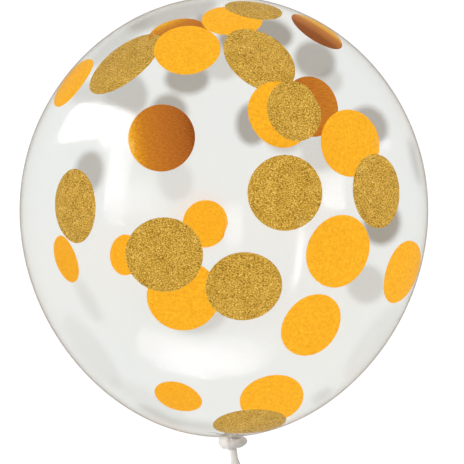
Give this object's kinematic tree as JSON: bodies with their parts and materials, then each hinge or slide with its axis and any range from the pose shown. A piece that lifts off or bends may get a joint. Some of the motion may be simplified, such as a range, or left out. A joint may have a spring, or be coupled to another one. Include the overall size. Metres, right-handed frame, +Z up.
{
  "type": "confetti balloon",
  "caption": "Clear latex balloon blown up full and tied, with round paper confetti inside, lying on its side on a small flat spot.",
  "frame": {"origin": "centre of the small flat spot that the balloon rests on", "axes": "+Z up; the long axis lies along Y, with the crown at +Y and the knot and tail at -Y; +X is the right-hand side seen from above"},
  "size_m": [0.305, 0.3664, 0.3031],
  "materials": {
    "clear_latex": "clear, glossy, slightly milky",
    "gold_foil_paper": "crinkled metallic gold foil on paper",
    "orange_tissue": "matt tissue paper",
    "amber_foil_paper": "smooth satin amber foil on paper"
  },
  "bodies": {
    "root": {"balloon": "clear_latex"}
  },
  "joints": []
}
